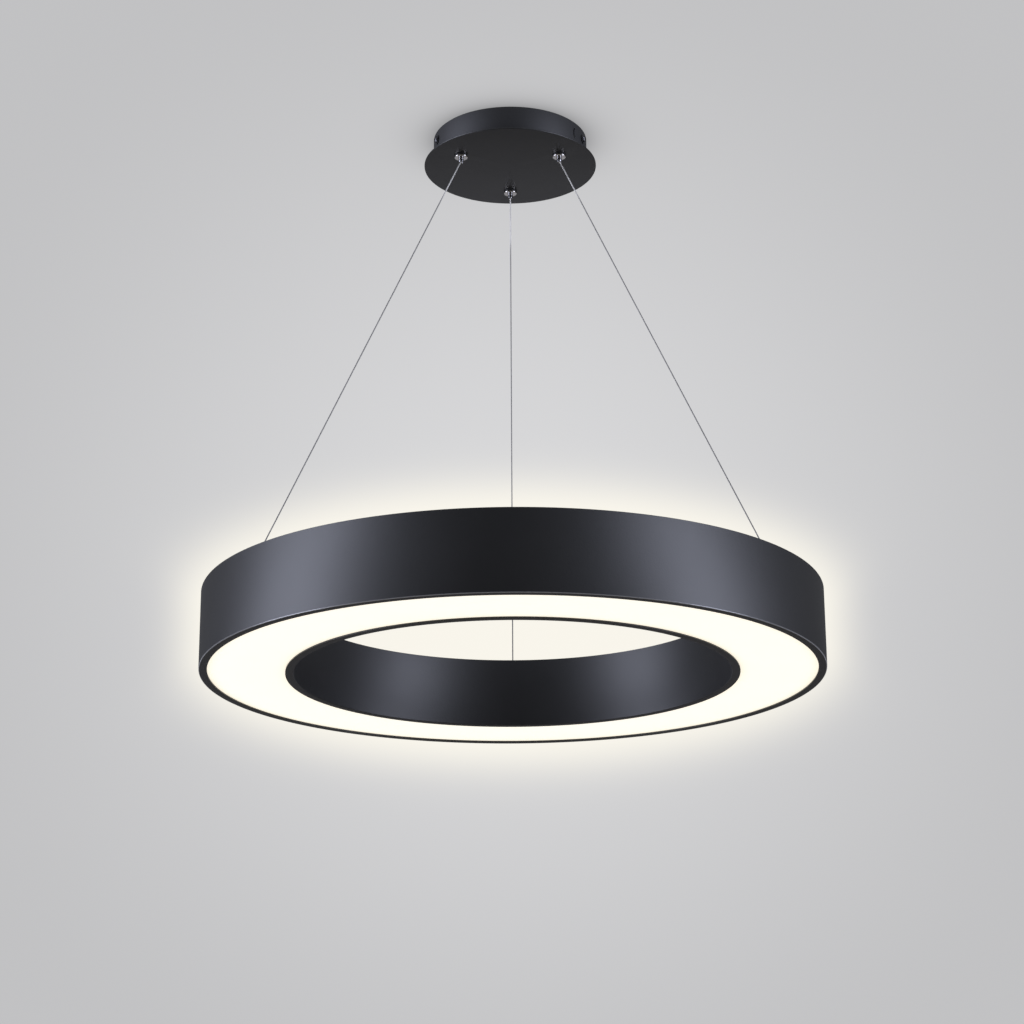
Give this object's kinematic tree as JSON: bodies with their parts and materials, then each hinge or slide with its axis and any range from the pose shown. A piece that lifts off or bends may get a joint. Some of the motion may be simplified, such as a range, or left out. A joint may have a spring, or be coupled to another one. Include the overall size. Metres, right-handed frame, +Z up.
{
  "type": "led ring chandelier",
  "caption": "Suspended LED ring lamp: a wide black ring with a glowing opal underside, hung on thin steel wires from a round ceiling canopy with ball grippers.",
  "frame": {"origin": "centre of the ceiling bracket's top face, which lies on the ceiling", "axes": "+Z up out of the ceiling face, -Y towards the viewer of the picture, +X to the viewer's right"},
  "size_m": [0.6, 0.6, 0.5675],
  "materials": {
    "black_coat": "satin black powder coat with a slight orange peel",
    "opal": "opal acrylic, satin on its lower face",
    "zinc_steel": "bright zinc plate",
    "dark_steel": "grey blackened steel",
    "black_nylon": "moulded black nylon",
    "aluminium": "plain rolled sheet",
    "phosphor": "yellow phosphor domes in white frames",
    "black_lead": "black lead insulation",
    "grey_lead": "grey lead insulation",
    "nickel": "polished nickel plate on brass",
    "dark_nickel": "turned brass with black nickel",
    "ball_steel": "polished ball steel",
    "wire_steel": "fine stranded steel rope",
    "brass": "bare brass",
    "white_plastic": "moulded white plastic",
    "board_green": "green solder mask",
    "board_white": "white solder mask",
    "terminal_plastic": "moulded cream plastic"
  },
  "bodies": {
    "canopy": {"canopy_drum": "black_coat", "canopy_plate": "black_coat", "ceiling_bracket": "zinc_steel", "crimp_sleeves": "brass", "dc_leads": "black_lead", "driver_board": "board_green", "driver_case": "white_plastic", "driver_cover": "white_plastic", "earth_lug": "zinc_steel", "gripper_body_1": "nickel", "gripper_body_2": "nickel", "gripper_body_3": "nickel", "gripper_bushes": "black_nylon", "gripper_caps": "nickel", "gripper_nuts": "nickel", "gripper_spring_1": "wire_steel", "gripper_spring_2": "wire_steel", "gripper_spring_3": "wire_steel", "mains_leads": "grey_lead", "side_screws": "dark_steel", "side_washers": "black_nylon", "stud_nuts": "zinc_steel", "suspension_wire_1": "wire_steel", "suspension_wire_2": "wire_steel", "suspension_wire_3": "wire_steel", "terminal_block": "terminal_plastic", "terminal_screws": "brass", "wire_tails": "wire_steel"},
    "ring": {"outer_band": "black_coat", "inner_band": "black_coat", "diffuser": "opal", "top_cover": "black_coat", "cover_screws": "dark_steel", "led_tray": "aluminium", "tray_screws": "zinc_steel", "led_chips": "phosphor", "ring_leads": "black_lead", "anchor_sockets": "nickel", "anchor_bushes": "black_nylon", "anchor_studs": "zinc_steel", "anchor_nuts": "zinc_steel", "wire_balls": "nickel", "led_board_1": "board_white", "led_board_2": "board_white", "led_board_3": "board_white", "led_board_4": "board_white", "led_board_5": "board_white", "led_board_6": "board_white", "ring_bridge_1": "zinc_steel", "ring_bridge_2": "zinc_steel", "ring_bridge_3": "zinc_steel", "ring_bridge_4": "zinc_steel", "ring_bridge_5": "zinc_steel", "ring_bridge_6": "zinc_steel"},
    "plunger_1": {"gripper_plunger_1": "dark_nickel", "gripper_balls_1": "ball_steel"},
    "plunger_2": {"gripper_plunger_2": "dark_nickel", "gripper_balls_2": "ball_steel"},
    "plunger_3": {"gripper_plunger_3": "dark_nickel", "gripper_balls_3": "ball_steel"}
  },
  "joints": [
    {"name": "ring_height", "type": "slide", "parent": "canopy", "child": "ring", "axis": [0, 0, 1], "range_m": [0, 0.2], "deforming": ["suspension_wire_1", "suspension_wire_2", "suspension_wire_3"]},
    {"name": "gripper_1_press", "type": "slide", "parent": "canopy", "child": "plunger_1", "axis": [0, 0, 1], "range_m": [0, 0.002], "stiffness_N_per_m": 500, "springref_m": -0.003, "deforming": ["gripper_spring_1"]},
    {"name": "gripper_2_press", "type": "slide", "parent": "canopy", "child": "plunger_2", "axis": [0, 0, 1], "range_m": [0, 0.002], "stiffness_N_per_m": 500, "springref_m": -0.003, "deforming": ["gripper_spring_2"]},
    {"name": "gripper_3_press", "type": "slide", "parent": "canopy", "child": "plunger_3", "axis": [0, 0, 1], "range_m": [0, 0.002], "stiffness_N_per_m": 500, "springref_m": -0.003, "deforming": ["gripper_spring_3"]}
  ]
}
